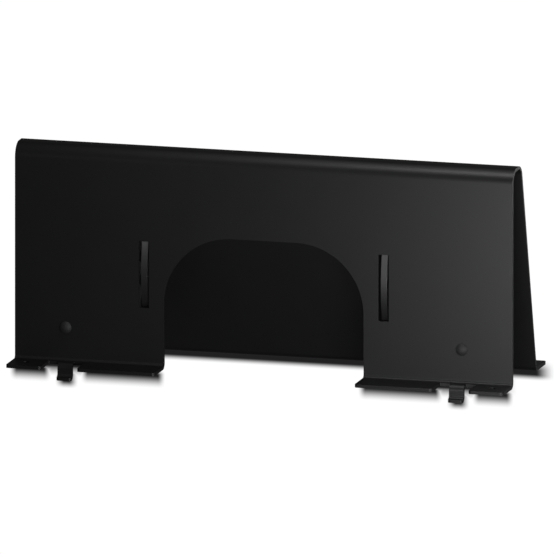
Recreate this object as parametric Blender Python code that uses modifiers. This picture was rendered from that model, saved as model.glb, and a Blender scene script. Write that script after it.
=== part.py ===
"""Microphone isolation shield: a folded steel cover with an arch for the microphone.

Units are metres. +X is to the right of a person facing the arch, +Y to the back, +Z up.
Every size below is in the fold frame: x is 0 at the middle of the width, y is 0 on the front
face of the front panel, and z is 0 on the underside of the flanges. The empty shield_frame
places the fold frame so that the origin is under the middle of the whole shield, at the
level of the two hook feet.
"""

import math

import bmesh
import bpy
from mathutils import Matrix, Vector

# Folded sheet
WIDTH = 0.480
SHEET = 0.003
HEIGHT = 0.207
FLANGE_DEPTH = 0.033
REAR_FOOT_Y = 0.0855
REAR_LEAN = math.radians(14.5)
FOOT_FILLET = 0.003
ROLL_RADIUS = 0.0133
FLANGE_CORNER = 0.003

# Arch in the front panel, open at the bottom
ARCH_WIDTH = 0.1925
ARCH_HEIGHT = 0.1272
ARCH_CORNER = 0.065

# Notches in the front flange, each with a hook tab folded down out of it
HOOK_INSET = 0.0512
HOOK_WIDTH = 0.0144
NOTCH_INNER_INSET = 0.0685
NOTCH_OUTER_INSET = 0.034
NOTCH_ROOT_Y = -0.0047
HOOK_FACE_Y = -0.011
HOOK_DROP = 0.013
HOOK_FOOT = 0.005
HOOK_FILLET = 0.003
HOOK_CORNER = 0.0022

# Screw holes in the flanges
SCREW_HOLE_RADIUS = 0.00325
SCREW_HOLE_INSET = 0.015
SCREW_HOLE_SETBACK = 0.016

# Strap slots, one each side of the arch, and the bowed bar behind each
SLOT_INSET = 0.1244
SLOT_WIDTH = 0.010
SLOT_BOTTOM = 0.0572
SLOT_TOP = 0.1206
SLOT_CORNER = 0.001
BAR_WIDTH = 0.006
BAR_SHEET = 0.0012
BAR_LEAN = math.radians(15)
BAR_CREST_Y = 0.001
BAR_SHOULDER = 0.036
BAR_FOOT_START = 0.0415
BAR_FOOT_END = 0.050
BAR_BEND = 0.002

# Round-headed bolts that hold the absorbers
BOLT_INSET = 0.049
BOLT_HEIGHT = 0.0346
HEAD_RADIUS = 0.00575
HEAD_HEIGHT = 0.003
NECK_SIDE = 0.0053
NECK_LENGTH = 0.0028
SHANK_RADIUS = 0.00245
SHANK_LENGTH = 0.030
SHANK_CHAMFER = 0.0006
BORE_RADIUS = 0.0028
WASHER_RADIUS = 0.0125
WASHER_SHEET = 0.0012

# Wing nuts
HUB_BASE_RADIUS = 0.0055
HUB_TOP_RADIUS = 0.0042
HUB_HEIGHT = 0.006
WING_SPAN = 0.023
WING_HEIGHT = 0.012
WING_SHEET = 0.0018

# Foam absorbers: a flat foot under the washer, and wedges above it
FOAM_INNER_INSET = 0.116
FOAM_OUTER_INSET = 0.023
FOAM_BOTTOM = 0.007
FOAM_FOOT = 0.016
FOAM_FOOT_TOP = 0.058
FOAM_BASE = 0.010
FOAM_TIP = 0.025
WEDGE_PITCH = 0.022
WEDGES = 6
FOAM_BORE_RADIUS = 0.0032

# Space left between pieces that touch
GAP = 0.0003
MERGE = 0.00005

HALF = WIDTH / 2
MIDDLE = SHEET / 2
REAR_TIP_Y = REAR_FOOT_Y + FLANGE_DEPTH
FRAME_SHIFT = Vector((0, (FLANGE_DEPTH - REAR_TIP_Y) / 2, HOOK_DROP))
FACING_FRONT = (math.radians(90), 0, 0)
FACING_BACK = (math.radians(-90), 0, 0)
# A flat outline drawn in local x and y, standing in the shield's y and z and thick along x
ON_EDGE = Matrix(((0, 0, 1), (1, 0, 0), (0, 1, 0))).to_euler()
SIDES = {"left": -1, "right": 1}


def rounded_path(corners, bends):
    """Points of a polyline in which each inner corner is an arc, from (radius, steps) pairs."""
    corners = [Vector(corner) for corner in corners]
    points = [corners[0]]
    for before, corner, after, (radius, steps) in zip(corners, corners[1:], corners[2:], bends):
        along = (corner - before).normalized()
        onward = (after - corner).normalized()
        turn = along.angle(onward)
        inward = (onward - along * along.dot(onward)).normalized()
        start = corner - along * radius * math.tan(turn / 2)
        centre = start + inward * radius
        for step in range(steps + 1):
            angle = turn * step / steps
            points.append(centre + (along * math.sin(angle) - inward * math.cos(angle)) * radius)
    points.append(corners[-1])
    return points


def add_object(name, mesh, collection, material=None):
    """Link a mesh to a collection as a child of the fold frame."""
    made = bpy.data.objects.new(name, mesh)
    collection.objects.link(made)
    made.parent = frame
    if material:
        mesh.materials.append(material)
    return made


def finish_mesh(build, name):
    """Turn a bmesh into a mesh with its faces pointing out."""
    bmesh.ops.recalc_face_normals(build, faces=build.faces)
    mesh = bpy.data.meshes.new(name)
    build.to_mesh(mesh)
    build.free()
    return mesh


def paint(name, color, roughness, metallic):
    """A plain Principled material."""
    material = bpy.data.materials.new(name)
    material.use_nodes = True
    shader = material.node_tree.nodes["Principled BSDF"]
    shader.inputs["Base Color"].default_value = (*color, 1)
    shader.inputs["Roughness"].default_value = roughness
    shader.inputs["Metallic"].default_value = metallic
    return material


def flat_plate(name, outline, thickness):
    """A mesh of a flat closed outline, thick along its local z."""
    curve = bpy.data.curves.new(name, "CURVE")
    curve.dimensions = "2D"
    curve.fill_mode = "BOTH"
    curve.extrude = thickness / 2
    spline = curve.splines.new("POLY")
    spline.points.add(len(outline) - 1)
    for point, place in zip(spline.points, outline):
        point.co = (place[0], place[1], 0, 1)
    spline.use_cyclic_u = True
    drawn = bpy.data.objects.new(name, curve)
    bpy.context.scene.collection.objects.link(drawn)
    evaluated = drawn.evaluated_get(bpy.context.evaluated_depsgraph_get())
    mesh = bpy.data.meshes.new_from_object(evaluated)
    bpy.data.objects.remove(drawn)
    build = bmesh.new()
    build.from_mesh(mesh)
    bmesh.ops.remove_doubles(build, verts=build.verts, dist=MERGE)
    bmesh.ops.dissolve_limit(build, angle_limit=math.radians(0.1), verts=build.verts, edges=build.edges)
    return finish_mesh(build, name)


def box_mesh(name, size, corner=0.0):
    """A box, whose edges along y are rounded if a corner radius is given."""
    build = bmesh.new()
    bmesh.ops.create_cube(build, size=1, matrix=Matrix.Diagonal((*size, 1)))
    if corner:
        along_y = [e for e in build.edges if abs(e.verts[0].co.y - e.verts[1].co.y) > size[1] / 2]
        bmesh.ops.bevel(build, geom=along_y, offset=corner, segments=4, affect="EDGES", profile=0.5)
    return finish_mesh(build, name)


def rod_mesh(name, radius, length, top_radius=None, segments=32):
    """A round rod, or a cone where a top radius is given, centred on its local z axis."""
    build = bmesh.new()
    bmesh.ops.create_cone(
        build,
        cap_ends=True,
        segments=segments,
        radius1=radius,
        radius2=radius if top_radius is None else top_radius,
        depth=length,
    )
    return finish_mesh(build, name)


def combine(target, tool, operation):
    """A Boolean on an object, with its tool kept out of sight."""
    modifier = target.modifiers.new(f"{operation.lower()}_{tool.name}", "BOOLEAN")
    modifier.operation = operation
    modifier.solver = "EXACT"
    modifier.object = tool
    tool.hide_render = True
    tool.display_type = "WIRE"


def apply_modifiers(target):
    """Replace an object's mesh with its evaluated one."""
    bpy.context.view_layer.update()
    evaluated = target.evaluated_get(bpy.context.evaluated_depsgraph_get())
    mesh = bpy.data.meshes.new_from_object(evaluated)
    target.modifiers.clear()
    target.data = mesh


def solidify(target, thickness):
    """Give an open surface its thickness, half on each side."""
    modifier = target.modifiers.new("sheet", "SOLIDIFY")
    modifier.thickness = thickness
    modifier.offset = 0
    modifier.use_even_offset = True


# Shell ------------------------------------------------------------------------------------


def fold_points():
    """The sheet's middle line in y and z, from the front flange's tip to the rear flange's."""
    foot_bend = (FOOT_FILLET + MIDDLE, 7)
    roll_bend = (ROLL_RADIUS - MIDDLE, 9)
    slope = math.tan(REAR_LEAN)
    rear_y = REAR_FOOT_Y - MIDDLE / math.cos(REAR_LEAN)
    top = HEIGHT - MIDDLE
    corners = [
        (NOTCH_ROOT_Y, MIDDLE),
        (MIDDLE, MIDDLE),
        (MIDDLE, top),
        (rear_y - slope * top, top),
        (rear_y - slope * MIDDLE, MIDDLE),
        (REAR_TIP_Y, MIDDLE),
    ]
    path = rounded_path(corners, [foot_bend, roll_bend, roll_bend, foot_bend])
    return [Vector((-FLANGE_DEPTH, MIDDLE))] + path


def hook_points():
    """The hook tab's middle line in y and z, from the notch's root to the tip of its foot."""
    bend = (HOOK_FILLET + MIDDLE, 6)
    face = HOOK_FACE_Y + MIDDLE
    low = MIDDLE - HOOK_DROP
    corners = [
        (NOTCH_ROOT_Y, MIDDLE),
        (face, MIDDLE),
        (face, low),
        (HOOK_FACE_Y - HOOK_FOOT, low),
    ]
    return rounded_path(corners, [bend, bend])


def strip(build, first, second):
    """Faces between two rows of vertices."""
    for start in range(len(first) - 1):
        build.faces.new((first[start], first[start + 1], second[start + 1], second[start]))


def half_surface():
    """The right half of the sheet's middle surface, open at the shield's middle plane."""
    hook_middle = HALF - HOOK_INSET
    hook_edges = (hook_middle - HOOK_WIDTH / 2, hook_middle + HOOK_WIDTH / 2)
    notch = (HALF - NOTCH_INNER_INSET, HALF - NOTCH_OUTER_INSET)
    stations = (0, notch[0], *hook_edges, notch[1], HALF)
    build = bmesh.new()
    rows = [[build.verts.new((x, y, z)) for y, z in fold_points()] for x in stations]
    for left, right, first, second in zip(stations, stations[1:], rows, rows[1:]):
        in_notch = left >= notch[0] and right <= notch[1]
        start = 1 if in_notch else 0
        strip(build, first[start:], second[start:])
    hook_rows = []
    for x in hook_edges:
        row = rows[stations.index(x)]
        hook_rows.append([row[1]] + [build.verts.new((x, y, z)) for y, z in hook_points()[1:]])
    strip(build, *hook_rows)
    loose = [vert for vert in build.verts if not vert.link_faces]
    bmesh.ops.delete(build, geom=loose, context="VERTS")
    return finish_mesh(build, "shield_shell")


def arch_outline():
    """The arch as seen from the front, with its sides run down past the flanges."""
    side = ARCH_WIDTH / 2
    below = -2 * HOOK_DROP
    corners = [(-side, below), (-side, ARCH_HEIGHT), (side, ARCH_HEIGHT), (side, below)]
    return rounded_path(corners, [(ARCH_CORNER, 16)] * 2)


def add_cutter(name, mesh, place, rotation=(0, 0, 0)):
    """A cutting tool for the shell, placed in the fold frame."""
    cutter = add_object(name, mesh, cutters)
    cutter.location = place
    cutter.rotation_euler = rotation
    return cutter


def shell_cutters():
    """Tools for the arch, the strap slots, the bolt holes and the flanges' screw holes."""
    reach = 0.1
    arch = flat_plate("arch_cutter", arch_outline(), reach)
    yield add_cutter("arch_cutter", arch, (0, SHEET * 2 - reach / 2, 0), FACING_FRONT)
    slot_size = (SLOT_WIDTH, SHEET * 4, SLOT_TOP - SLOT_BOTTOM)
    slot_height = (SLOT_TOP + SLOT_BOTTOM) / 2
    hole_side = NECK_SIDE + 2 * GAP
    hole_size = (hole_side, SHEET * 4, hole_side)
    screw_ys = {"front": -SCREW_HOLE_SETBACK, "rear": REAR_FOOT_Y + SCREW_HOLE_SETBACK}
    for side, sign in SIDES.items():
        slot = box_mesh(f"slot_cutter_{side}", slot_size, SLOT_CORNER)
        yield add_cutter(slot.name, slot, (sign * (HALF - SLOT_INSET), MIDDLE, slot_height))
        hole = box_mesh(f"neck_cutter_{side}", hole_size)
        yield add_cutter(hole.name, hole, (sign * (HALF - BOLT_INSET), MIDDLE, BOLT_HEIGHT))
        for end, y in screw_ys.items():
            screw = rod_mesh(f"screw_cutter_{end}_{side}", SCREW_HOLE_RADIUS, SHEET * 4, segments=24)
            yield add_cutter(screw.name, screw, (sign * (HALF - SCREW_HOLE_INSET), y, MIDDLE))


def round_free_corners(mesh):
    """Round the upright corners at the tips of the flanges and of the hook feet."""
    build = bmesh.new()
    build.from_mesh(mesh)
    hook_tip = HOOK_FACE_Y - HOOK_FOOT
    tips = {-FLANGE_DEPTH: FLANGE_CORNER, REAR_TIP_Y: FLANGE_CORNER, hook_tip: HOOK_CORNER}
    for tip, radius in tips.items():
        corners = []
        for edge in build.edges:
            low, high = sorted((vert.co for vert in edge.verts), key=lambda place: place.z)
            upright = high.z - low.z > SHEET * 0.9 and (high.xy - low.xy).length < MERGE
            if upright and abs(low.y - tip) < MERGE:
                corners.append(edge)
        bmesh.ops.bevel(build, geom=corners, offset=radius, segments=4, affect="EDGES", profile=0.5)
    build.to_mesh(mesh)
    build.free()


def add_shell(material):
    """The folded sheet: flanges, front panel, roll, rear panel and hook tabs in one piece."""
    shell = add_object("shield_shell", half_surface(), parts, material)
    mirror = shell.modifiers.new("both_halves", "MIRROR")
    mirror.merge_threshold = MERGE
    solidify(shell, SHEET)
    for cutter in shell_cutters():
        combine(shell, cutter, "DIFFERENCE")
    apply_modifiers(shell)
    round_free_corners(shell.data)


# Strap bars -------------------------------------------------------------------------------


def bar_points():
    """The bar's middle line in y and z about the slot's centre, from its top foot down."""
    crest = BAR_CREST_Y + BAR_SHEET / 2
    foot_y = SHEET + GAP + BAR_SHEET / 2
    slope = math.tan(BAR_LEAN)
    bow_end = (SLOT_TOP - SLOT_BOTTOM) / 2
    bow_radius = bow_end / math.sin(BAR_LEAN)
    apex_y = crest - bow_radius * (1 / math.cos(BAR_LEAN) - 1)
    upper = [
        (foot_y, BAR_FOOT_END),
        (foot_y, BAR_FOOT_START),
        (apex_y + slope * BAR_SHOULDER, BAR_SHOULDER),
    ]
    lower = [(y, -z) for y, z in reversed(upper)]
    bend = (BAR_BEND, 4)
    return rounded_path([*upper, (apex_y, 0), *lower], [bend, bend, (bow_radius, 14), bend, bend])


def add_bar(side, material):
    """A bowed strip on edge behind its slot, with a flat foot above and below it."""
    x = SIDES[side] * (HALF - SLOT_INSET)
    build = bmesh.new()
    rows = [
        [build.verts.new((edge, y, z)) for y, z in bar_points()]
        for edge in (-BAR_WIDTH / 2, BAR_WIDTH / 2)
    ]
    strip(build, *rows)
    bar = add_object(f"strap_bar_{side}", finish_mesh(build, f"strap_bar_{side}"), parts, material)
    bar.location = (x, 0, (SLOT_TOP + SLOT_BOTTOM) / 2)
    solidify(bar, BAR_SHEET)


# Bolts, washers and wing nuts --------------------------------------------------------------


def bolt_profile():
    """The bolt's half section in radius and height: dome, underside of the head, shank."""
    sphere = (HEAD_RADIUS**2 + HEAD_HEIGHT**2) / (2 * HEAD_HEIGHT)
    spread = math.asin(HEAD_RADIUS / sphere)
    centre = GAP + HEAD_HEIGHT - sphere
    steps = 8
    angles = [spread * step / steps for step in range(steps + 1)]
    dome = [(sphere * math.sin(angle), centre + sphere * math.cos(angle)) for angle in angles]
    tip = GAP - SHANK_LENGTH
    shank = [
        (SHANK_RADIUS, GAP),
        (SHANK_RADIUS, tip + SHANK_CHAMFER),
        (SHANK_RADIUS - SHANK_CHAMFER, tip),
        (0, tip),
    ]
    return dome + shank


def add_bolt(side, material):
    """A domed bolt with a square neck that stops it turning in the front panel."""
    name = f"dome_bolt_{side}"
    build = bmesh.new()
    profile = [build.verts.new((radius, 0, height)) for radius, height in bolt_profile()]
    for upper, lower in zip(profile, profile[1:]):
        build.edges.new((upper, lower))
    mesh = bpy.data.meshes.new(name)
    build.to_mesh(mesh)
    build.free()
    bolt = add_object(name, mesh, parts, material)
    turn = bolt.modifiers.new("turned", "SCREW")
    turn.steps = 32
    turn.render_steps = 32
    turn.use_merge_vertices = True
    turn.merge_threshold = MERGE
    place_at_bolt(bolt, side, 0, FACING_FRONT)
    neck = add_object(f"neck_{side}", box_mesh(f"neck_{side}", (NECK_SIDE, NECK_SIDE, NECK_LENGTH)), cutters)
    neck.location = bolt.location + Vector((0, NECK_LENGTH / 2 - GAP * 2, 0))
    neck.rotation_euler = FACING_FRONT
    combine(bolt, neck, "UNION")
    apply_modifiers(bolt)
    bolt.data.shade_smooth()
    bolt.data.set_sharp_from_angle(angle=math.radians(35))


def place_at_bolt(piece, side, y, rotation):
    """Centre a piece on its bolt's axis, at a distance behind the panel's front face."""
    piece.location = (SIDES[side] * (HALF - BOLT_INSET), y, BOLT_HEIGHT)
    piece.rotation_euler = rotation


def add_bore(target, radius, length):
    """Cut a round hole along a piece's own z axis."""
    drill = add_object(f"bore_{target.name}", rod_mesh(f"bore_{target.name}", radius, length), cutters)
    drill.location = target.location
    drill.rotation_euler = target.rotation_euler
    combine(target, drill, "DIFFERENCE")


def washer_y():
    """Where the washer's front face sits, on the foot of the foam."""
    return SHEET + GAP + FOAM_FOOT + GAP


def add_washer(side, material):
    """A wide washer that spreads the nut's pull over the foam."""
    name = f"wide_washer_{side}"
    washer = add_object(name, rod_mesh(name, WASHER_RADIUS, WASHER_SHEET), parts, material)
    place_at_bolt(washer, side, washer_y() + WASHER_SHEET / 2, FACING_BACK)
    add_bore(washer, BORE_RADIUS, WASHER_SHEET * 4)
    apply_modifiers(washer)


def wing_outline():
    """Both wings in one outline, in x and height above the nut's seat."""
    reach = WING_SPAN / 2
    tall = WING_HEIGHT
    right = [
        (0.0, 0.0012),
        (0.0045, 0.0012),
        (reach, tall * 0.55),
        (reach, tall),
        (reach * 0.62, tall),
        (reach * 0.40, HUB_HEIGHT - 0.0008),
        (0.0, HUB_HEIGHT - 0.0008),
    ]
    bends = [(0.003, 3), (0.003, 4), (0.0019, 5), (0.0019, 5), (0.0022, 4)]
    half = rounded_path(right, bends)
    return half[1:-1] + [Vector((-point.x, point.y)) for point in reversed(half[1:-1])]


def add_wing_nut(side, material):
    """A wing nut whose origin is on its thread's axis, at its seat on the washer."""
    name = f"wing_nut_{side}"
    hub = rod_mesh(name, HUB_BASE_RADIUS, HUB_HEIGHT, HUB_TOP_RADIUS)
    hub.transform(Matrix.Translation((0, 0, HUB_HEIGHT / 2)))
    nut = add_object(name, hub, parts, material)
    place_at_bolt(nut, side, washer_y() + WASHER_SHEET + GAP, FACING_BACK)
    blade = flat_plate(f"wings_{side}", wing_outline(), WING_SHEET)
    blade.transform(Matrix.Rotation(math.radians(90), 4, "X"))
    wings = add_object(f"wings_{side}", blade, cutters)
    wings.location = nut.location
    wings.rotation_euler = nut.rotation_euler
    combine(nut, wings, "UNION")
    add_bore(nut, BORE_RADIUS, WING_HEIGHT * 4)
    apply_modifiers(nut)
    nut.data.shade_smooth()
    nut.data.set_sharp_from_angle(angle=math.radians(35))


# Absorbers --------------------------------------------------------------------------------


def foam_outline():
    """The foam's end outline in y and z: flat foot below, wedges above, flat back."""
    front = SHEET + GAP
    outline = [(front, FOAM_BOTTOM), (front + FOAM_FOOT, FOAM_BOTTOM), (front + FOAM_FOOT, FOAM_FOOT_TOP)]
    for wedge in range(WEDGES):
        valley = FOAM_FOOT_TOP + WEDGE_PITCH * wedge
        outline.append((front + FOAM_TIP, valley + WEDGE_PITCH / 2))
        outline.append((front + FOAM_BASE, valley + WEDGE_PITCH))
    outline.append((front, FOAM_FOOT_TOP + WEDGE_PITCH * WEDGES))
    return outline


def add_absorber(side, material):
    """A wedged foam block behind the front panel, between its strap slot and its end."""
    name = f"absorber_{side}"
    inner = HALF - FOAM_INNER_INSET
    outer = HALF - FOAM_OUTER_INSET
    foam = add_object(name, flat_plate(name, foam_outline(), outer - inner), parts, material)
    foam.location = (SIDES[side] * (inner + outer) / 2, 0, 0)
    foam.rotation_euler = ON_EDGE
    drill_name = f"bore_{name}"
    drill = add_object(drill_name, rod_mesh(drill_name, FOAM_BORE_RADIUS, FOAM_TIP * 4), cutters)
    place_at_bolt(drill, side, 0, FACING_BACK)
    combine(foam, drill, "DIFFERENCE")
    apply_modifiers(foam)


# Assembly ---------------------------------------------------------------------------------


for old in list(bpy.data.objects):
    bpy.data.objects.remove(old)

parts = bpy.data.collections.new("microphone_isolation_shield")
cutters = bpy.data.collections.new("cutters")
bpy.context.scene.collection.children.link(parts)
bpy.context.scene.collection.children.link(cutters)
frame = bpy.data.objects.new("shield_frame", None)
frame.location = FRAME_SHIFT
parts.objects.link(frame)

add_shell(paint("black_powder_coat", (0.012, 0.012, 0.013), 0.42, 0.0))
bar_paint = paint("satin_black_steel", (0.03, 0.03, 0.032), 0.35, 0.6)
bolt_finish = paint("black_oxide", (0.02, 0.02, 0.022), 0.3, 0.7)
zinc = paint("zinc_plate", (0.55, 0.56, 0.58), 0.3, 1.0)
foam_grey = paint("charcoal_foam", (0.03, 0.03, 0.033), 0.95, 0.0)
for side_name in SIDES:
    add_bar(side_name, bar_paint)
    add_bolt(side_name, bolt_finish)
    add_washer(side_name, zinc)
    add_wing_nut(side_name, zinc)
    add_absorber(side_name, foam_grey)
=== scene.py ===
"""Looks of the microphone isolation shield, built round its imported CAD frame.

Units are metres in the row frame: +X right, +Y from the arch to the sloping rear panel, +Z up.
The folded shell and the strap bars are drawn flat, as the sheet is cut, and then folded.
"""

import math

import bmesh
import bpy
from mathutils import Matrix, Vector, noise


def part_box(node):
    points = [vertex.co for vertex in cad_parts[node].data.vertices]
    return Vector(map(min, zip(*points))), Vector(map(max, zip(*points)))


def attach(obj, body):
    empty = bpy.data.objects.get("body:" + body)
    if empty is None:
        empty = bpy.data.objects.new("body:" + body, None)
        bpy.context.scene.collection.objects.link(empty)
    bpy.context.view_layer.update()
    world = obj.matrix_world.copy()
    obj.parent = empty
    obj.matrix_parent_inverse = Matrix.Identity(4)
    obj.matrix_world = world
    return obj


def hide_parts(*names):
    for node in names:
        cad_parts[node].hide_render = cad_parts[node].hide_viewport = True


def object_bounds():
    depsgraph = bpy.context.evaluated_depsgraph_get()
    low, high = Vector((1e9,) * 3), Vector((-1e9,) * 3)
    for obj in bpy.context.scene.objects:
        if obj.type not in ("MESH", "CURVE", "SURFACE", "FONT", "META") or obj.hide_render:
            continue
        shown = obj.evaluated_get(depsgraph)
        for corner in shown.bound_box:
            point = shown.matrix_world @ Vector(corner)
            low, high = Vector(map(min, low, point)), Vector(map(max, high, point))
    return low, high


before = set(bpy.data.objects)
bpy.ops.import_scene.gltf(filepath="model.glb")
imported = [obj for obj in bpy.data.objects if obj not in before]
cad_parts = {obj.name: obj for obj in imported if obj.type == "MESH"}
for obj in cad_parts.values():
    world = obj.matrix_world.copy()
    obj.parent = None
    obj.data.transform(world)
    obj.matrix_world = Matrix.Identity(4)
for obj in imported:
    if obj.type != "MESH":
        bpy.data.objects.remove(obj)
cad_low, cad_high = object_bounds()

# Sizes of the folded sheet. The overall ones come from the frame.
SHELL_LOW, SHELL_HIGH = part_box("shield_shell")
HALF = (SHELL_HIGH.x - SHELL_LOW.x) / 2
SHEET = 0.003
HOOK_DROP = 0.013
FLANGE_DEPTH = 0.033
FOLD_ORIGIN = Vector((0, SHELL_LOW.y + FLANGE_DEPTH, SHELL_LOW.z + HOOK_DROP))
TOP = SHELL_HIGH.z - FOLD_ORIGIN.z
REAR_TIP_Y = SHELL_HIGH.y - FOLD_ORIGIN.y
REAR_FOOT_Y = REAR_TIP_Y - FLANGE_DEPTH
REAR_LEAN = math.radians(14.5)
FOOT_FILLET = 0.003
ROLL_RADIUS = 0.0133
CUT_EDGE = 0.0004
FREE_CORNER = 0.003
RELIEF_CORNER = 0.0006

# The arch in the front panel and flange.
ARCH_HALF = 0.1925 / 2
ARCH_HEIGHT = 0.1272
ARCH_CORNER = 0.065

# The hook tabs and the notches they are folded down from.
HOOK_X = HALF - 0.0512
HOOK_HALF = 0.0144 / 2
HOOK_FACE_Y = -0.011
HOOK_FOOT = 0.005
HOOK_FILLET = 0.003
HOOK_CORNER = 0.0024
NOTCH_INNER_X = HALF - 0.0685
NOTCH_OUTER_X = HALF - 0.034
NOTCH_ROOT_Y = -0.0047

# The screw holes in the flanges.
SCREW_X = HALF - 0.015
SCREW_SETBACK = 0.016
SCREW_RADIUS = 0.00325

# The slots, and the bowed bars behind them.
SLOT_X = HALF - 0.1244
SLOT_HALF = 0.005
SLOT_BOTTOM = 0.0572
SLOT_TOP = 0.1206
SLOT_CORNER = 0.001

BAR_HALF = 0.003
BAR_SHEET = 0.0012
BAR_LEAN = math.radians(15)
BAR_CREST_Y = 0.001
BAR_SHOULDER = 0.036
BAR_FOOT_START = 0.0415
BAR_FOOT_END = 0.050
BAR_BEND = 0.002
BAR_EDGE = 0.0002
BAR_CORNER = 0.0008

# The bolts.
BOLT_X = HALF - 0.049
BOLT_HEIGHT = 0.0346
NECK_HOLE = 0.0059
HEAD_RADIUS = 0.00575
HEAD_HEIGHT = 0.003
HEAD_RIM = 0.0003
NECK_HALF = 0.00265
NECK_CORNER = 0.0004
NECK_LENGTH = 0.0022
SHANK_RADIUS = 0.00245
SHANK_TIP = 0.0297
THREAD_PITCH = 0.0008
THREAD_DEPTH = 0.00043
THREAD_START = 0.0065
BORE_RADIUS = 0.0027
BOLT_STEPS = 72

# The stack on each bolt, from the panel backward.
GAP = 0.0003
FOAM_FOOT = 0.016
WASHER_RADIUS = 0.0125
WASHER_SHEET = 0.0012
WASHER_SOFT_EDGE = 0.0003
WASHER_CRISP_EDGE = 0.0001
WASHER_STEPS = 120
WASHER_Y = SHEET + GAP + FOAM_FOOT + GAP
NUT_SEAT_Y = WASHER_Y + WASHER_SHEET + GAP

# The wing nuts.
HUB_BASE_RADIUS = 0.0055
HUB_TOP_RADIUS = 0.0042
HUB_HEIGHT = 0.006
WING_REACH = 0.0115
WING_HEIGHT = 0.012
WING_SHEET = 0.0018
WING_EDGE = 0.0004
WING_CORNER = 0.0022
WEB_DIP = 0.0008
COLLAR_STEP = 0.0004
COLLAR_HEIGHT = 0.0008
CONE_START = 0.0014
HUB_CHAMFER = 0.0003
NUT_STEPS = 64
NUT_VOXEL = 0.00025
LEAD_IN = 0.0005
SEAT_CUT = 0.03

# The foam absorbers.
FOAM_INNER_X = HALF - 0.116
FOAM_OUTER_X = HALF - 0.023
FOAM_BOTTOM = 0.007
FOAM_FOOT_TOP = 0.058
FOAM_BASE = 0.010
FOAM_TIP = 0.025
WEDGE_PITCH = 0.022
WEDGES = 6
FOAM_BORE_RADIUS = 0.0032
FOAM_VOXEL = 0.0014
FOAM_SWELL = 0.0012
FOAM_SWELL_REACH = 0.006
FOAM_FADE_START = 0.004
FOAM_FADE_LENGTH = 0.008
FOAM_FIXED_DEPTH = 0.004
FOAM_DRILL_STEPS = 40

# How uneven the cut foam is, as pairs of a height and a noise frequency.
FOAM_UNEVENNESS = ((0.0005, 60), (0.00025, 230))

SIDES = {"left": -1, "right": 1}
FACING_FRONT = Matrix.Rotation(math.radians(90), 4, "X")
FACING_BACK = Matrix.Rotation(math.radians(-90), 4, "X")

# Fineness and tolerances of the meshes.
CHORD_ERROR = 0.00002
SAME_PLACE = 1e-6
PLANE_SNAP = 1e-7
SHORTEST_STEP = 1e-9
RIM_ANGLE = math.radians(60)
SMOOTH_ANGLE = math.radians(40)
FLAT_NORMAL_WEIGHT = 90


# Geometry helpers --------------------------------------------------------------------------


def arc_steps(radius, turn):
    """How many chords an arc needs to stay within the chord error."""
    step = 2 * math.acos(1 - CHORD_ERROR / max(radius, 2 * CHORD_ERROR))
    return max(3, math.ceil(turn / step))


def rounded_loop(corners):
    """A closed outline from (x, y, corner radius) entries, with its round corners as arcs."""
    points = []
    count = len(corners)
    for index, (x, y, radius) in enumerate(corners):
        corner = Vector((x, y))
        before = Vector(corners[index - 1][:2])
        after = Vector(corners[(index + 1) % count][:2])
        if not radius:
            points.append(corner)
            continue
        along = (corner - before).normalized()
        onward = (after - corner).normalized()
        turn = along.angle(onward)
        inward = (onward - along * along.dot(onward)).normalized()
        start = corner - along * radius * math.tan(turn / 2)
        centre = start + inward * radius
        steps = arc_steps(radius, turn)
        for step in range(steps + 1):
            angle = turn * step / steps
            points.append(centre + (along * math.sin(angle) - inward * math.cos(angle)) * radius)
    return points


def circle_loop(x, y, radius):
    """A round hole's outline."""
    steps = arc_steps(radius, math.tau)
    angles = [math.tau * step / steps for step in range(steps)]
    return [Vector((x + radius * math.cos(a), y + radius * math.sin(a))) for a in angles]


def fold_track(corners, bends, side=1):
    """Stations (distance, point, normal) along a line of straight runs and arcs.

    corners are (y, z) places of the middle line, and bends are the radii of its inner
    corners. The normal is to the left of the direction of travel, or to the right if side
    is -1.
    """
    corners = [Vector(corner) for corner in corners]
    stations = []
    distance = 0.0
    place = corners[0]
    along = (corners[1] - corners[0]).normalized()
    normal = Vector((-along.y, along.x)) * side
    stations.append((distance, place, normal))
    for corner, after, radius in zip(corners[1:], corners[2:], bends):
        onward = (after - corner).normalized()
        turn = along.angle(onward)
        inward = (onward - along * along.dot(onward)).normalized()
        start = corner - along * radius * math.tan(turn / 2)
        distance += (start - place).length
        centre = start + inward * radius
        steps = 2 * arc_steps(radius, turn)
        for step in range(steps + 1):
            angle = turn * step / steps
            outward = along * math.sin(angle) - inward * math.cos(angle)
            heading = along * math.cos(angle) + inward * math.sin(angle)
            place = centre + outward * radius
            normal = Vector((-heading.y, heading.x)) * side
            stations.append((distance + radius * angle, place, normal))
        distance += radius * turn
        along = onward
    distance += (corners[-1] - place).length
    stations.append((distance, corners[-1], normal))
    return stations


def on_track(stations, distance, offset):
    """The (y, z) of a point at a distance along a track and an offset from its middle line."""
    for (start, place, normal), (end, next_place, next_normal) in zip(stations, stations[1:]):
        if distance <= end or end == stations[-1][0]:
            share = (distance - start) / max(end - start, SHORTEST_STEP)
            middle = place.lerp(next_place, share)
            away = normal.lerp(next_normal, share)
            return middle + away * offset
    raise ValueError(f"{distance} is past the end of the track")


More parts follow.
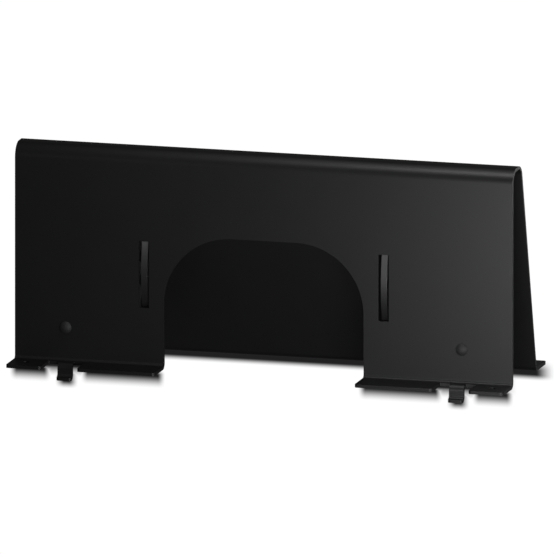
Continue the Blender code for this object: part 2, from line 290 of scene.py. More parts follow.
def flat_plate(name, loops, thickness, edge, segments=3):
    """A flat plate in x and y with holes, its upper and lower edges rounded by edge."""
    curve = bpy.data.curves.new(name, "CURVE")
    curve.dimensions = "2D"
    curve.fill_mode = "BOTH"
    curve.extrude = thickness / 2
    for loop in loops:
        spline = curve.splines.new("POLY")
        spline.points.add(len(loop) - 1)
        for point, place in zip(spline.points, loop):
            point.co = (place.x, place.y, 0, 1)
        spline.use_cyclic_u = True
    drawn = bpy.data.objects.new(name, curve)
    bpy.context.scene.collection.objects.link(drawn)
    evaluated = drawn.evaluated_get(bpy.context.evaluated_depsgraph_get())
    mesh = bpy.data.meshes.new_from_object(evaluated)
    bpy.data.objects.remove(drawn)
    build = bmesh.new()
    build.from_mesh(mesh)
    bpy.data.meshes.remove(mesh)
    bmesh.ops.remove_doubles(build, verts=build.verts, dist=SAME_PLACE)
    bmesh.ops.recalc_face_normals(build, faces=build.faces)
    if edge:
        sharp = [e for e in build.edges if e.calc_face_angle(0) > RIM_ANGLE]
        bmesh.ops.bevel(
            build,
            geom=[e for e in sharp if on_cap(e, thickness)],
            offset=edge,
            segments=segments,
            affect="EDGES",
            profile=0.5,
            clamp_overlap=True,
        )
    return build


def on_cap(edge, thickness):
    """Whether an edge lies in the upper or the lower face of a plate."""
    first, second = (vert.co.z for vert in edge.verts)
    return abs(first - second) < SAME_PLACE and abs(abs(first) - thickness / 2) < SAME_PLACE


def cut_across(build, places, axis):
    """Split a mesh's faces by planes across an axis, so that it can bend there."""
    normal = Vector((0, 0, 0))
    normal[axis] = 1
    for place in places:
        bmesh.ops.bisect_plane(
            build,
            geom=list(build.verts) + list(build.edges) + list(build.faces),
            dist=PLANE_SNAP,
            plane_co=normal * place,
            plane_no=normal,
        )


def turned(rings, steps, closed=False):
    """A mesh round the z axis through (radius, height) rings; a radius may depend on the angle.

    A closed profile joins its last ring to its first. An open one ends in poles, where its
    radius is near zero, or in flat caps.
    """
    build = bmesh.new()
    angles = [math.tau * step / steps for step in range(steps)]
    rows = []
    for radius, height in rings:
        radii = [radius(angle) if callable(radius) else radius for angle in angles]
        places = [(r * math.cos(a), r * math.sin(a), height) for r, a in zip(radii, angles)]
        rows.append([build.verts.new(place) for place in places])
    if closed:
        rows.append(rows[0])
    else:
        build.faces.new(rows[0])
        build.faces.new(rows[-1])
    for upper, lower in zip(rows, rows[1:]):
        for step in range(steps):
            after = (step + 1) % steps
            build.faces.new((upper[step], lower[step], lower[after], upper[after]))
    bmesh.ops.remove_doubles(build, verts=build.verts, dist=CHORD_ERROR)
    bmesh.ops.recalc_face_normals(build, faces=build.faces)
    return build


def to_mesh(build, name):
    """Turn a bmesh into a mesh."""
    mesh = bpy.data.meshes.new(name)
    build.to_mesh(mesh)
    build.free()
    return mesh


def at_bolt(side, y):
    """A place on a bolt's axis, at a distance behind the front panel's front face."""
    return Matrix.Translation(FOLD_ORIGIN + Vector((SIDES[side] * BOLT_X, y, BOLT_HEIGHT)))


def modified(mesh, steps):
    """A mesh with modifiers applied, from (kind, settings) pairs."""
    holder = bpy.data.objects.new(mesh.name, mesh)
    bpy.context.scene.collection.objects.link(holder)
    for kind, settings in steps:
        modifier = holder.modifiers.new(kind.lower(), kind)
        for name, value in settings.items():
            setattr(modifier, name, value)
    bpy.context.view_layer.update()
    graph = bpy.context.evaluated_depsgraph_get()
    result = bpy.data.meshes.new_from_object(holder.evaluated_get(graph), depsgraph=graph)
    result.name = mesh.name
    bpy.data.objects.remove(holder)
    return result


def cut(mesh, tool_mesh):
    """A mesh with another one cut out of it."""
    tool = bpy.data.objects.new(tool_mesh.name, tool_mesh)
    bpy.context.scene.collection.objects.link(tool)
    settings = {"operation": "DIFFERENCE", "solver": "EXACT", "object": tool}
    result = modified(mesh, [("BOOLEAN", settings)])
    bpy.data.objects.remove(tool)
    return result


def bake(piece):
    """Apply a piece's modifiers."""
    bpy.context.view_layer.update()
    graph = bpy.context.evaluated_depsgraph_get()
    material = piece.data.materials[0]
    mesh = bpy.data.meshes.new_from_object(
        piece.evaluated_get(graph), preserve_all_data_layers=True, depsgraph=graph
    )
    piece.modifiers.clear()
    piece.data = mesh
    mesh.materials.clear()
    mesh.materials.append(material)


def smooth(piece):
    """Smooth shading that keeps flat faces flat."""
    piece.data.shade_smooth()
    piece.data.set_sharp_from_angle(angle=SMOOTH_ANGLE)
    weighted = piece.modifiers.new("flat_faces", "WEIGHTED_NORMAL")
    weighted.keep_sharp = True
    weighted.weight = FLAT_NORMAL_WEIGHT
    bake(piece)


# Shell ------------------------------------------------------------------------------------


def shell_track():
    """The sheet's middle line from the front flange's tip over the roll to the rear tip."""
    middle = SHEET / 2
    top = TOP - middle
    slope = math.tan(REAR_LEAN)
    rear_y = REAR_FOOT_Y - middle / math.cos(REAR_LEAN)
    corners = [
        (-FLANGE_DEPTH, middle),
        (middle, middle),
        (middle, top),
        (rear_y - slope * top, top),
        (rear_y - slope * middle, middle),
        (REAR_TIP_Y, middle),
    ]
    foot = FOOT_FILLET + middle
    roll = ROLL_RADIUS - middle
    return fold_track(corners, [foot, roll, roll, foot])


def hook_track():
    """The hook tab's middle line, from the notch's root to the tip of its foot."""
    middle = SHEET / 2
    low = middle - HOOK_DROP
    corners = [
        (NOTCH_ROOT_Y, middle),
        (HOOK_FACE_Y + middle, middle),
        (HOOK_FACE_Y + middle, low),
        (HOOK_FACE_Y - HOOK_FOOT, low),
    ]
    bend = HOOK_FILLET + middle
    return fold_track(corners, [bend, bend], side=-1)


def panel_distance(height):
    """How far along the sheet a height on the front panel lies."""
    foot = FOOT_FILLET + SHEET / 2
    bend_length = foot * math.pi / 2
    bend_start = FLANGE_DEPTH + SHEET / 2 - foot
    return bend_start + bend_length + height - (SHEET / 2 + foot)


def shell_loops(end, hook_length):
    """The flat pattern: its outline with both notches and the arch, then its holes."""
    root = FLANGE_DEPTH + NOTCH_ROOT_Y
    hook_tip = root - hook_length
    right = [
        (HALF, end, FREE_CORNER),
        (HALF, 0, FREE_CORNER),
        (NOTCH_OUTER_X, 0, FREE_CORNER),
        (NOTCH_OUTER_X, root, RELIEF_CORNER),
        (HOOK_X + HOOK_HALF, root, RELIEF_CORNER),
        (HOOK_X + HOOK_HALF, hook_tip, HOOK_CORNER),
        (HOOK_X - HOOK_HALF, hook_tip, HOOK_CORNER),
        (HOOK_X - HOOK_HALF, root, RELIEF_CORNER),
        (NOTCH_INNER_X, root, RELIEF_CORNER),
        (NOTCH_INNER_X, 0, FREE_CORNER),
        (ARCH_HALF, 0, FREE_CORNER),
        (ARCH_HALF, panel_distance(ARCH_HEIGHT), ARCH_CORNER),
    ]
    left = [(-x, distance, radius) for x, distance, radius in reversed(right)]
    loops = [rounded_loop(right + left)]
    slot_low = panel_distance(SLOT_BOTTOM)
    slot_high = panel_distance(SLOT_TOP)
    bolt = panel_distance(BOLT_HEIGHT)
    screw = FLANGE_DEPTH - SCREW_SETBACK
    for sign in SIDES.values():
        loops.append(box_loop(sign * SLOT_X, SLOT_HALF, slot_low, slot_high, SLOT_CORNER))
        half = NECK_HOLE / 2
        loops.append(box_loop(sign * BOLT_X, half, bolt - half, bolt + half, RELIEF_CORNER))
        loops.append(circle_loop(sign * SCREW_X, screw, SCREW_RADIUS))
        loops.append(circle_loop(sign * SCREW_X, end - screw, SCREW_RADIUS))
    return loops


def box_loop(x, half, low, high, radius):
    """An upright rounded rectangle's outline."""
    corners = [(x - half, low), (x + half, low), (x + half, high), (x - half, high)]
    return rounded_loop([(*corner, radius) for corner in corners])


def folded_shell():
    """The flat pattern, cut at its bends and folded up into the shield."""
    main = shell_track()
    hook = hook_track()
    root = FLANGE_DEPTH + NOTCH_ROOT_Y
    build = flat_plate("shell", shell_loops(main[-1][0], hook[-1][0]), SHEET, CUT_EDGE)
    flat = math.radians(0.05)
    bmesh.ops.dissolve_limit(build, angle_limit=flat, verts=build.verts, edges=build.edges)
    cut_across(build, [station[0] for station in main[1:-1]], 1)
    cut_across(build, [root - station[0] for station in hook[1:-1]], 1)
    hook_reach = HOOK_HALF + SHEET
    for vert in build.verts:
        x, distance, offset = vert.co
        in_hook = abs(abs(x) - HOOK_X) < hook_reach and distance < root
        if in_hook:
            y, z = on_track(hook, root - distance, offset)
        else:
            y, z = on_track(main, distance, offset)
        vert.co = FOLD_ORIGIN + Vector((x, y, z))
    return to_mesh(build, "shield_shell_sheet")


# Strap bars -------------------------------------------------------------------------------


def bar_track():
    """The bar's middle line in y and z about its slot's centre, from its top foot down."""
    crest = BAR_CREST_Y + BAR_SHEET / 2
    foot_y = SHEET + GAP + BAR_SHEET / 2
    slope = math.tan(BAR_LEAN)
    bow_end = (SLOT_TOP - SLOT_BOTTOM) / 2
    bow_radius = bow_end / math.sin(BAR_LEAN)
    apex_y = crest - bow_radius * (1 / math.cos(BAR_LEAN) - 1)
    upper = [
        (foot_y, BAR_FOOT_END),
        (foot_y, BAR_FOOT_START),
        (apex_y + slope * BAR_SHOULDER, BAR_SHOULDER),
    ]
    lower = [(y, -z) for y, z in reversed(upper)]
    bends = [BAR_BEND, BAR_BEND, bow_radius, BAR_BEND, BAR_BEND]
    return fold_track([*upper, (apex_y, 0), *lower], bends)


def strap_bar(side):
    """A strip with rounded edges and corners, folded and bowed behind its slot."""
    track = bar_track()
    length = track[-1][0]
    corners = [(-BAR_HALF, 0), (BAR_HALF, 0), (BAR_HALF, length), (-BAR_HALF, length)]
    loop = rounded_loop([(*corner, BAR_CORNER) for corner in corners])
    build = flat_plate("bar", [loop], BAR_SHEET, BAR_EDGE)
    cut_across(build, [station[0] for station in track[1:-1]], 1)
    centre = FOLD_ORIGIN + Vector((SIDES[side] * SLOT_X, 0, (SLOT_TOP + SLOT_BOTTOM) / 2))
    for vert in build.verts:
        x, distance, offset = vert.co
        vert.co = centre + Vector((x, *on_track(track, distance, offset)))
    return to_mesh(build, f"strap_bar_{side}_strip")


# Bolts, washers and wing nuts --------------------------------------------------------------


def square_radius(half, angle):
    """The radius of a square with softened corners in a direction."""
    power = 12
    return half / (abs(math.cos(angle)) ** power + abs(math.sin(angle)) ** power) ** (1 / power)


def thread_radius(angle, height):
    """The shank's radius on its right-hand thread, which fades out at both ends."""
    crest_flat = 1 / 8
    root_flat = 1 / 4
    turns = height / THREAD_PITCH - angle / math.tau
    from_root = abs(turns % 1 - 0.5) * 2
    slope_left = 1 - crest_flat - from_root
    groove = min(1, max(0, slope_left / (1 - crest_flat - root_flat)))
    ends = min(-THREAD_START - height, height + SHANK_TIP)
    fade = min(1, max(0, ends / THREAD_PITCH))
    return SHANK_RADIUS - THREAD_DEPTH * groove * fade


def bolt_rings():
    """Rings from the top of the dome to the tip of the shank."""
    swing = 2 * math.atan((HEAD_HEIGHT - 2 * HEAD_RIM) / (HEAD_RADIUS - HEAD_RIM))
    sphere = (HEAD_RADIUS - HEAD_RIM) / math.sin(swing) + HEAD_RIM
    centre = GAP + HEAD_HEIGHT - sphere
    rings = []
    dome_steps = 20
    for step in range(dome_steps + 1):
        angle = swing * step / dome_steps
        radius = max(sphere * math.sin(angle), SAME_PLACE)
        rings.append((radius, centre + sphere * math.cos(angle)))
    rim_steps = 6
    for step in range(1, rim_steps + 1):
        angle = swing + (math.pi - swing) * step / rim_steps
        radius = HEAD_RADIUS - HEAD_RIM + HEAD_RIM * math.sin(angle)
        rings.append((radius, GAP + HEAD_RIM + HEAD_RIM * math.cos(angle)))
    rings.append((lambda angle: square_radius(NECK_HALF, angle), GAP))
    rings.append((lambda angle: square_radius(NECK_HALF, angle), -NECK_LENGTH + NECK_CORNER))
    rings.append((lambda angle: square_radius(NECK_HALF - NECK_CORNER / 2, angle), -NECK_LENGTH))
    rings.append((SHANK_RADIUS, -NECK_LENGTH - NECK_CORNER))
    rows_per_turn = 6
    rows = math.ceil((SHANK_TIP - THREAD_START) / THREAD_PITCH * rows_per_turn)
    for row in range(rows + 1):
        height = -THREAD_START + (THREAD_START - SHANK_TIP) * row / rows
        rings.append((lambda angle, height=height: thread_radius(angle, height), height))
    rings.append((SHANK_RADIUS - THREAD_DEPTH, -SHANK_TIP - THREAD_DEPTH / 2))
    return rings


def dome_bolt(side):
    """A round-headed bolt with a square neck and a threaded shank."""
    build = turned(bolt_rings(), BOLT_STEPS)
    build.transform(at_bolt(side, 0) @ FACING_FRONT)
    return to_mesh(build, f"dome_bolt_{side}_turned")


def edge_arc(radius, height, size, start, steps=4):
    """Points of a quarter round about a corner's centre, from a start angle in degrees."""
    angles = [math.radians(start + 90 * step / steps) for step in range(steps + 1)]
    return [(radius + size * math.cos(a), height + size * math.sin(a)) for a in angles]


def wide_washer(side):
    """A stamped washer: round on the edge that the punch left last, sharper on the other."""
    soft = WASHER_SOFT_EDGE
    crisp = WASHER_CRISP_EDGE
    outer = WASHER_RADIUS
    inner = BORE_RADIUS
    top = WASHER_SHEET
    rings = edge_arc(outer - crisp, crisp, crisp, -90)
    rings += edge_arc(outer - soft, top - soft, soft, 0)
    rings += edge_arc(inner + soft, top - soft, soft, 90)
    rings += edge_arc(inner + crisp, crisp, crisp, 180)
    build = turned(rings, WASHER_STEPS, closed=True)
    build.transform(at_bolt(side, WASHER_Y) @ FACING_BACK)
    return to_mesh(build, f"wide_washer_{side}_stamped")


def wing_outline():
    """Both wings in one outline, in x and height above the nut's seat."""
    root_x = 0.0045
    root_height = 0.0012
    right = [
        (root_x, root_height, 0.002),
        (WING_REACH, WING_HEIGHT * 0.55, 0.003),
        (WING_REACH, WING_HEIGHT, WING_CORNER),
        (WING_REACH * 0.60, WING_HEIGHT, WING_CORNER),
        (WING_REACH * 0.40, HUB_HEIGHT - WEB_DIP, WING_CORNER),
    ]
    left = [(-x, height, radius) for x, height, radius in reversed(right)]
    return rounded_loop(right + left)


def wing_nut(side):
    """A cast wing nut: hub and wings run into each other, then the bore and seat are cut."""
    collar = HUB_BASE_RADIUS + COLLAR_STEP
    below_seat = -0.001
    rings = [
        (collar, below_seat),
        (collar, COLLAR_HEIGHT),
        (HUB_BASE_RADIUS, CONE_START),
        (HUB_TOP_RADIUS, HUB_HEIGHT - HUB_CHAMFER),
        (HUB_TOP_RADIUS - HUB_CHAMFER, HUB_HEIGHT),
    ]
    build = turned(rings, NUT_STEPS)
    wings = flat_plate("wings", [wing_outline()], WING_SHEET, WING_EDGE, segments=2)
    wings.transform(FACING_FRONT)
    wings_mesh = to_mesh(wings, "wings")
    build.from_mesh(wings_mesh)
    cast = modified(
        to_mesh(build, f"wing_nut_{side}_cast"),
        [
            ("REMESH", {"mode": "VOXEL", "voxel_size": NUT_VOXEL}),
            ("SMOOTH", {"factor": 0.5, "iterations": 10}),
        ],
    )
    below = 0.0009
    above = 0.0011
    drill = [
        (BORE_RADIUS + below, -below),
        (BORE_RADIUS + LEAD_IN, 0.0),
        (BORE_RADIUS, LEAD_IN),
        (BORE_RADIUS, HUB_HEIGHT - LEAD_IN),
        (BORE_RADIUS + LEAD_IN + above, HUB_HEIGHT + above),
    ]
    cast = cut(cast, to_mesh(turned(drill, NUT_STEPS), "drill"))
    seat = bmesh.new()
    under = Matrix.Translation((0, 0, -SEAT_CUT / 2))
    bmesh.ops.create_cube(seat, size=SEAT_CUT, matrix=under)
    cast = cut(cast, to_mesh(seat, "seat"))
    cast.transform(at_bolt(side, NUT_SEAT_Y) @ FACING_BACK)
    return cast


# Absorbers --------------------------------------------------------------------------------


def foam_outline():
    """The foam's end outline in y and z: flat foot below, wedges above, flat back."""
    front = SHEET + GAP
    outline = [
        (front, FOAM_BOTTOM),
        (front + FOAM_FOOT, FOAM_BOTTOM),
        (front + FOAM_FOOT, FOAM_FOOT_TOP),
    ]
    for wedge in range(WEDGES):
        valley = FOAM_FOOT_TOP + WEDGE_PITCH * wedge
        outline.append((front + FOAM_TIP, valley + WEDGE_PITCH / 2))
        outline.append((front + FOAM_BASE, valley + WEDGE_PITCH))
    outline.append((front, FOAM_FOOT_TOP + WEDGE_PITCH * WEDGES))
    return [Vector(place) for place in outline]


def pressed(place, axis):
    """How far the foam's foot stands up at a place: level under the washer, proud round it."""
    reach = (Vector((place.x, place.z)) - axis).length - WASHER_RADIUS
    swell = min(1, max(0, reach / FOAM_SWELL_REACH))
    below_top = FOAM_FOOT_TOP - FOAM_FADE_START - place.z
    fade = min(1, max(0, below_top / FOAM_FADE_LENGTH))
    return FOAM_SWELL * swell * swell * (3 - 2 * swell) * fade


def absorber(side):
    """A wedged foam block whose cut edges have slumped a little, pressed in by its washer."""
    width = FOAM_OUTER_X - FOAM_INNER_X
    block = flat_plate("foam", [foam_outline()], width, 0)
    outline_to_side = Matrix(((0, 0, 1, 0), (1, 0, 0, 0), (0, 1, 0, 0), (0, 0, 0, 1)))
    block.transform(outline_to_side)
    middle = Vector((SIDES[side] * (FOAM_OUTER_X + FOAM_INNER_X) / 2, 0, 0))
    block.transform(Matrix.Translation(middle))
    mesh = modified(
        to_mesh(block, f"absorber_{side}_foam"),
        [
            ("REMESH", {"mode": "VOXEL", "voxel_size": FOAM_VOXEL}),
            ("SMOOTH", {"factor": 0.5, "iterations": 4}),
        ],
    )
    front = SHEET + GAP
    near_foot = front + FOAM_FOOT * 0.8
    axis = Vector((SIDES[side] * BOLT_X, BOLT_HEIGHT))
    shape = bmesh.new()
    shape.from_mesh(mesh)
    shape.normal_update()
    for vert in shape.verts:
        place = vert.co.copy()
        from_panel = min(1, (place.y - front) / FOAM_FIXED_DEPTH)
        unevenness = sum(height * noise.noise(place * rate) for height, rate in FOAM_UNEVENNESS)
        vert.co += vert.normal * unevenness * max(0, from_panel)
        if place.y > near_foot and place.z < FOAM_FOOT_TOP:
            vert.co.y += pressed(place, axis)
    shape.to_mesh(mesh)
    shape.free()
    margin = 0.01
    ends = [(FOAM_BORE_RADIUS, -margin), (FOAM_BORE_RADIUS, FOAM_TIP * 2)]
    rod = turned(ends, FOAM_DRILL_STEPS)
    rod.transform(Matrix.Translation((axis.x, 0, axis.y)) @ FACING_BACK)
    mesh = cut(mesh, to_mesh(rod, "foam_drill"))
    mesh.transform(Matrix.Translation(FOLD_ORIGIN))
    return mesh


# Materials --------------------------------------------------------------------------------


class Nodes:
    """Short calls for building a material's nodes."""

    def __init__(self, name):
        self.material = bpy.data.materials.new(name)
        self.material.use_nodes = True
        self.tree = self.material.node_tree
        self.shader = self.tree.nodes["Principled BSDF"]

    def add(self, kind, **settings):
        """A node with its named properties set, and its inputs set from an inputs dict."""
        node = self.tree.nodes.new(kind)
        for name, value in settings.pop("inputs", {}).items():
            self.feed(node.inputs[name], value)
        for name, value in settings.items():
            setattr(node, name, value)
        return node

    def feed(self, socket, value):
        """Link an output to a socket, or set the socket's value."""
        if isinstance(value, bpy.types.NodeSocket):
            self.tree.links.new(value, socket)
        else:
            socket.default_value = value

    def math(self, operation, *values):
        """One step of arithmetic on outputs or numbers."""
        node = self.add("ShaderNodeMath", operation=operation)
        for socket, value in zip(node.inputs, values):
            self.feed(socket, value)
        return node.outputs[0]

    def principled(self, **values):
        """Set inputs of the Principled BSDF by name, with _ for spaces."""
        for name, value in values.items():
            self.feed(self.shader.inputs[name.replace("_", " ")], value)

    def place(self, stretch=(1, 1, 1)):
        """Object coordinates, stretched along some axes."""
        place = self.add("ShaderNodeTexCoord").outputs["Object"]
        inputs = {"Vector": place, "Scale": stretch}
        return self.add("ShaderNodeMapping", inputs=inputs).outputs["Vector"]

    def place_axes(self):
        """Object coordinates as three outputs named X, Y and Z."""
        return self.add("ShaderNodeSeparateXYZ", inputs={"Vector": self.place()}).outputs

    def noise(self, scale, detail=2.0, roughness=0.5, stretch=(1, 1, 1)):
        """Noise in object space, between 0 and 1."""
        place = self.place(stretch)
        inputs = {"Vector": place, "Scale": scale, "Detail": detail, "Roughness": roughness}
        return self.add("ShaderNodeTexNoise", inputs=inputs).outputs["Fac"]

    def ramp(self, value, low, high, to_low=0.0, to_high=1.0):
        """Map a value's range onto another, clamped."""
        ends = {"From Min": low, "From Max": high, "To Min": to_low, "To Max": to_high}
        return self.add("ShaderNodeMapRange", inputs={"Value": value, **ends}).outputs["Result"]

    def soft_span(self, value, start, full, fade, end):
        """Zero outside a span and one inside it, with smooth shoulders."""
        shoulders = []
        for low, high in ((start, full), (end, fade)):
            inputs = {"Value": value, "From Min": low, "From Max": high}
            node = self.add("ShaderNodeMapRange", interpolation_type="SMOOTHSTEP", inputs=inputs)
            shoulders.append(node.outputs["Result"])
        return self.math("MULTIPLY", *shoulders)

    def mix(self, factor, first, second):
        """Mix two colours."""
        node = self.add("ShaderNodeMix", data_type="RGBA")
        self.feed(node.inputs["Factor"], factor)
        self.feed(node.inputs[6], first)
        self.feed(node.inputs[7], second)
        return node.outputs[2]

    def bump(self, height, distance, strength):
        """A bump from a height."""
        inputs = {"Height": height, "Distance": distance, "Strength": strength}
        return self.add("ShaderNodeBump", inputs=inputs).outputs["Normal"]


def grey(value, tint=0.0):
    """A near neutral colour, a little blue for a positive tint."""
    return (value, value, value * (1 + tint), 1)


def powder_coat():
    """Satin black powder coat with its fine orange peel."""
    nodes = Nodes("powder_coat_black")
    cloud = nodes.noise(14, 3)
    color = nodes.mix(nodes.ramp(cloud, 0.3, 0.7), grey(0.0050), grey(0.0062, 0.03))
    rough = nodes.ramp(nodes.noise(60, 3), 0.3, 0.7, 0.448, 0.462)
    peel = nodes.bump(nodes.noise(900, 2), 0.00004, 0.35)
    nodes.principled(Base_Color=color, Roughness=rough, Normal=peel)
    return nodes.material


def satin_steel():
    """Black spring steel with fine lines along the strip, with a painted highlight that
    brightens it towards its top.
    """
    nodes = Nodes("satin_steel_black")
    lines = nodes.noise(2500, 2, 0.5, stretch=(1, 1, 0.002))
    black = nodes.mix(nodes.ramp(lines, 0.3, 0.7), grey(0.070), grey(0.085, 0.03))
    height = nodes.place_axes()["Z"]
    low = FOLD_ORIGIN.z + SLOT_BOTTOM
    high = FOLD_ORIGIN.z + SLOT_TOP
    # Painted highlight: the base colour gets lighter from the slot's bottom to its top.
    painted_top_highlight = nodes.math("POWER", nodes.ramp(height, low, high), 2.0)
    color = nodes.mix(painted_top_highlight, black, grey(0.26))
    nodes.principled(Base_Color=color, Metallic=0.9, Roughness=0.32)
    return nodes.material


def black_oxide():
    """Blackened steel bolts, slightly mottled, with a faint grain."""
    nodes = Nodes("black_oxide_steel")
    mottle = nodes.noise(900, 4, 0.6)
    color = nodes.mix(nodes.ramp(mottle, 0.35, 0.7), grey(0.018), grey(0.026, 0.05))
    rough = nodes.ramp(nodes.noise(2000, 3), 0.3, 0.7, 0.58, 0.64)
    grain = nodes.bump(nodes.noise(4000, 2), 0.000004, 0.3)
    nodes.principled(Base_Color=color, Roughness=rough, Normal=grain)
    nodes.principled(Specular_IOR_Level=0.35)
    return nodes.material


def zinc_plate():
    """Bright zinc with a faint blue and straw bloom and a cast or stamped grain."""
    nodes = Nodes("zinc_plated_steel")
    bloom = nodes.noise(180, 3)
    blue = (0.52, 0.55, 0.60, 1)
    straw = (0.60, 0.58, 0.53, 1)
    color = nodes.mix(nodes.ramp(bloom, 0.35, 0.65), blue, straw)
    rough = nodes.ramp(nodes.noise(900, 4, 0.6), 0.3, 0.7, 0.24, 0.40)
    grain = nodes.bump(nodes.noise(1800, 3), 0.00002, 0.5)
    nodes.principled(Base_Color=color, Metallic=1.0, Roughness=rough, Normal=grain)
    return nodes.material


def open_cell_foam():
    """Charcoal foam: open pores painted dark as shade in their hollows, between slightly paler
    cell walls.
    """
    nodes = Nodes("open_cell_foam")
    inputs = {"Vector": nodes.place(), "Scale": 1100.0}
    cells = nodes.add("ShaderNodeTexVoronoi", inputs=inputs).outputs["Distance"]
    pores = nodes.ramp(cells, 0.25, 0.6)
    fine = nodes.ramp(nodes.noise(3000, 2), 0.35, 0.65)
    walls = nodes.mix(fine, grey(0.030), grey(0.052, 0.05))
    # Painted shade: the pore centres are darkened as if shaded inside the hollows.
    shade = nodes.mix(pores, grey(0.006), walls)
    cloud = nodes.ramp(nodes.noise(50, 3), 0.3, 0.7, 0.0, 0.4)
    color = nodes.mix(cloud, shade, grey(0.022, 0.04))
    relief = nodes.bump(pores, 0.0005, 1.0)
    nodes.principled(Base_Color=color, Roughness=0.95, Normal=relief)
    nodes.principled(Sheen_Weight=0.1, Sheen_Roughness=0.5)
    return nodes.material


# Studio -----------------------------------------------------------------------------------


# Strengths of the surroundings, and the white of the floor and the black of its painted shadow
# as the camera sees them.
AMBIENT = 0.12
GLOSSY_AMBIENT = 0.04
FLOOR_WHITE = 1.02
SHADE_BLACK = 0.015
FLOOR_SIZE = 40
FLOOR_GAP = 0.0002

# The camera's direction, in degrees to the right and up, and its frame in metres.
CAMERA_AZIMUTH = math.radians(15.39)
CAMERA_ELEVATION = math.radians(11.85)
VIEW_WIDTH = 0.5152
VIEW_SHIFT_RIGHT = 0.0010
VIEW_SHIFT_UP = -0.0123
CAMERA_DISTANCE = 3
VIEW_DEPTH = 30


def shade_strip(nodes, edge_y, sides, drift, blur, reach):
    """Painted shadow on the floor behind an edge, as a mirrored pair of bands.

    sides are the band's nearest and farthest distances from the middle plane, reach is where
    it starts, is full, fades and ends in y, and drift moves it to the right. The band runs
    back from the edge in the camera's direction, so that it stays under the edge as seen.
    """
    place = nodes.place_axes()
    slant = math.tan(CAMERA_AZIMUTH)
    x = nodes.math("MULTIPLY_ADD", place["Y"], slant, place["X"])
    out = nodes.math("ABSOLUTE", nodes.math("SUBTRACT", x, edge_y * slant + drift))
    inner, outer = sides
    across = nodes.soft_span(out, inner - blur, inner + blur, outer - blur, outer + blur)
    along = nodes.soft_span(place["Y"], *reach)
    return nodes.math("MULTIPLY", across, along)


def under_flange(nodes, sides, edge_y):
    """The shade under a stretch of a front flange, whose edge is at edge_y."""
    drift = 0.007
    blur = 0.004
    reach = (edge_y + 0.004, edge_y + 0.063, edge_y + 0.068, edge_y + 0.09)
    return shade_strip(nodes, cad_low.y, sides, drift, blur, reach)


def behind_legs(nodes):
    """The shade on the floor behind each leg, which runs on under the rear panel."""
    front = cad_low.y
    rear = cad_high.y
    sides = (ARCH_HALF + 0.02, HALF - 0.01)
    drift = 0.012
    blur = 0.014
    reach = (front + 0.05, front + 0.085, rear + 0.01, rear + 0.08)
    return shade_strip(nodes, front, sides, drift, blur, reach)


def round_hooks(nodes):
    """The shade round the hook feet."""
    front = cad_low.y
    foot = front + FLANGE_DEPTH + HOOK_FACE_Y - HOOK_FOOT
    sides = (HOOK_X - HOOK_HALF, HOOK_X + HOOK_HALF)
    drift = 0.003
    blur = 0.005
    reach = (foot - 0.034, foot + 0.002, front + 0.046, front + 0.07)
    return shade_strip(nodes, foot, sides, drift, blur, reach)


def under_rear(nodes):
    """The shade under the rear flange and on the floor behind it."""
    rear = cad_high.y
    drift = 0
    blur = 0.010
    reach = (rear - 0.019, rear + 0.011, rear + 0.026, rear + 0.08)
    return shade_strip(nodes, rear, (-HALF, HALF), drift, blur, reach)


def floor_shade(nodes):
    """How much of the floor's white the painted shadow takes at a place: the darkest of all its
    bands.
    """
    front = cad_low.y
    notch_root = front + FLANGE_DEPTH + NOTCH_ROOT_Y
    bands = [
        under_flange(nodes, (ARCH_HALF, NOTCH_INNER_X), front),
        under_flange(nodes, (NOTCH_INNER_X, NOTCH_OUTER_X), notch_root),
        under_flange(nodes, (NOTCH_OUTER_X, HALF), front),
        behind_legs(nodes),
        round_hooks(nodes),
        under_rear(nodes),
    ]
    shade = bands[0]
    for band in bands[1:]:
        shade = nodes.math("MAXIMUM", shade, band)
    return shade


def add_floor():
    """A white floor under the hook feet, with a soft painted shadow close under the shield.

    The camera sees it unlit. Its light on the shield is the same soft grey as the world's.
    """
    bpy.ops.mesh.primitive_plane_add(size=FLOOR_SIZE, location=(0, 0, cad_low.z - FLOOR_GAP))
    floor = bpy.context.object
    floor.name = "floor"
    nodes = Nodes("white_floor")
    # The painted shadow: the floor's white is mixed towards black wherever the bands reach.
    shade = nodes.mix(floor_shade(nodes), grey(FLOOR_WHITE), grey(SHADE_BLACK))
    seen = nodes.add("ShaderNodeEmission", inputs={"Color": shade})
    glow = nodes.add("ShaderNodeEmission", inputs={"Color": grey(1), "Strength": AMBIENT})
    camera = nodes.add("ShaderNodeLightPath").outputs["Is Camera Ray"]
    both = nodes.add("ShaderNodeMixShader")
    nodes.feed(both.inputs[0], camera)
    nodes.feed(both.inputs[1], glow.outputs[0])
    nodes.feed(both.inputs[2], seen.outputs[0])
    nodes.feed(nodes.tree.nodes["Material Output"].inputs["Surface"], both.outputs[0])
    floor.data.materials.append(nodes.material)
    floor.visible_glossy = False


def add_softbox(name, place, target, size, watts):
    """A rectangular area light that faces a target."""
    light = bpy.data.lights.new(name, "AREA")
    light.shape = "RECTANGLE"
    light.size, light.size_y = size
    light.energy = watts
    box = bpy.data.objects.new(name, light)
    bpy.context.scene.collection.objects.link(box)
    box.location = place
    box.rotation_euler = (Vector(place) - Vector(target)).to_track_quat("Z", "Y").to_euler()
    box.visible_camera = False


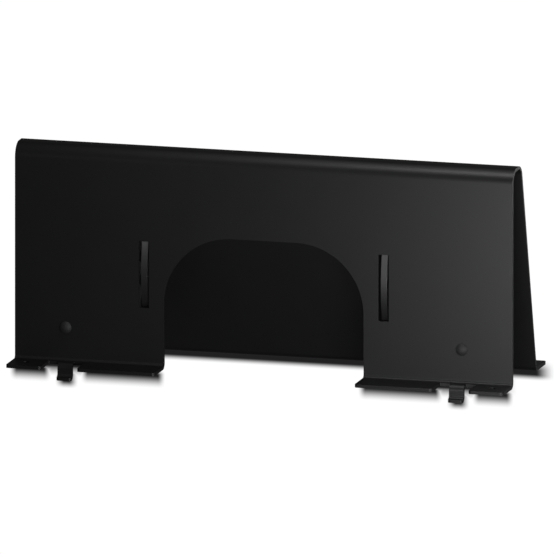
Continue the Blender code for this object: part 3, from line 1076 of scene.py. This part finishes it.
def add_lights():
    """Softboxes, each with its name, place, target, size and watts.

    The low front one lights the panel from the right, the high and top ones the roll, and the
    strap one the bars. The end and side ones light the right end, and the back one the rear.
    """
    add_softbox("front_softbox", (0.32, -0.62, 0.05), (0.1, 0, 0.1), (0.4, 0.12), 2.35)
    add_softbox("high_softbox", (0.12, -0.28, 0.80), (0.15, -0.04, 0.2), (0.2, 0.15), 1.35)
    add_softbox("top_softbox", (0, 0, 0.85), (0, 0, 0.1), (0.4, 0.4), 0.27)
    add_softbox("strap_softbox", (-0.22, -0.72, 0.36), (0, 0, 0.13), (0.5, 0.15), 0.085)
    add_softbox("end_softbox", (0.60, -0.25, 0.10), (0.24, 0.06, 0.1), (0.2, 0.15), 0.7)
    add_softbox("side_softbox", (0.70, 0.12, 0.25), (0.24, 0, 0.1), (0.25, 0.25), 1.5)
    add_softbox("back_softbox", (0.55, 0.75, 0.30), (0, 0.07, 0.1), (0.6, 0.4), 2.0)


def add_world():
    """White to the camera, soft grey light for the object, and a dim glow in reflections."""
    world = bpy.data.worlds.new("studio")
    bpy.context.scene.world = world
    world.use_nodes = True
    tree = world.node_tree
    tree.nodes.clear()
    path = tree.nodes.new("ShaderNodeLightPath")
    strengths = {"camera": 1.0, "diffuse": AMBIENT, "glossy": GLOSSY_AMBIENT}
    made = {}
    for name, strength in strengths.items():
        background = tree.nodes.new("ShaderNodeBackground")
        background.inputs["Color"].default_value = grey(1)
        background.inputs["Strength"].default_value = strength
        made[name] = background.outputs[0]
    glossy = tree.nodes.new("ShaderNodeMixShader")
    tree.links.new(path.outputs["Is Glossy Ray"], glossy.inputs[0])
    tree.links.new(made["diffuse"], glossy.inputs[1])
    tree.links.new(made["glossy"], glossy.inputs[2])
    seen = tree.nodes.new("ShaderNodeMixShader")
    tree.links.new(path.outputs["Is Camera Ray"], seen.inputs[0])
    tree.links.new(glossy.outputs[0], seen.inputs[1])
    tree.links.new(made["camera"], seen.inputs[2])
    output = tree.nodes.new("ShaderNodeOutputWorld")
    tree.links.new(seen.outputs[0], output.inputs[0])


def add_camera():
    """A parallel view from the front, a little to the right and above."""
    back = Vector(
        (
            math.sin(CAMERA_AZIMUTH) * math.cos(CAMERA_ELEVATION),
            -math.cos(CAMERA_AZIMUTH) * math.cos(CAMERA_ELEVATION),
            math.sin(CAMERA_ELEVATION),
        )
    )
    facing = (-back).to_track_quat("-Z", "Y")
    middle = (cad_low + cad_high) / 2
    aim = middle + facing @ Vector((VIEW_SHIFT_RIGHT, VIEW_SHIFT_UP, 0))
    camera = bpy.data.cameras.new("camera")
    camera.type = "ORTHO"
    camera.ortho_scale = VIEW_WIDTH
    camera.clip_end = VIEW_DEPTH
    holder = bpy.data.objects.new("camera", camera)
    bpy.context.scene.collection.objects.link(holder)
    holder.location = aim + back * CAMERA_DISTANCE
    holder.rotation_mode = "QUATERNION"
    holder.rotation_quaternion = facing
    bpy.context.scene.camera = holder


# Assembly ---------------------------------------------------------------------------------

BODIES = {side: f"{side}_wing_nut" for side in SIDES}


def add_piece(node, mesh, material, body="shield"):
    """Link a mesh as the piece that stands for a CAD node and rides on a body."""
    piece = bpy.data.objects.new(mesh.name, mesh)
    bpy.context.scene.collection.objects.link(piece)
    mesh.materials.clear()
    mesh.materials.append(material)
    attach(piece, body)
    smooth(piece)
    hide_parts(node)


def add_pieces():
    """Build every piece of the shield."""
    add_piece("shield_shell", folded_shell(), powder_coat())
    steel = satin_steel()
    oxide = black_oxide()
    zinc = zinc_plate()
    foam = open_cell_foam()
    for side, nut_body in BODIES.items():
        add_piece(f"strap_bar_{side}", strap_bar(side), steel)
        add_piece(f"dome_bolt_{side}", dome_bolt(side), oxide)
        add_piece(f"wide_washer_{side}", wide_washer(side), zinc)
        add_piece(f"wing_nut_{side}", wing_nut(side), zinc, nut_body)
        add_piece(f"absorber_{side}", absorber(side), foam)


add_pieces()

add_floor()
add_world()
add_lights()
add_camera()
bpy.context.scene.view_settings.view_transform = "Standard"
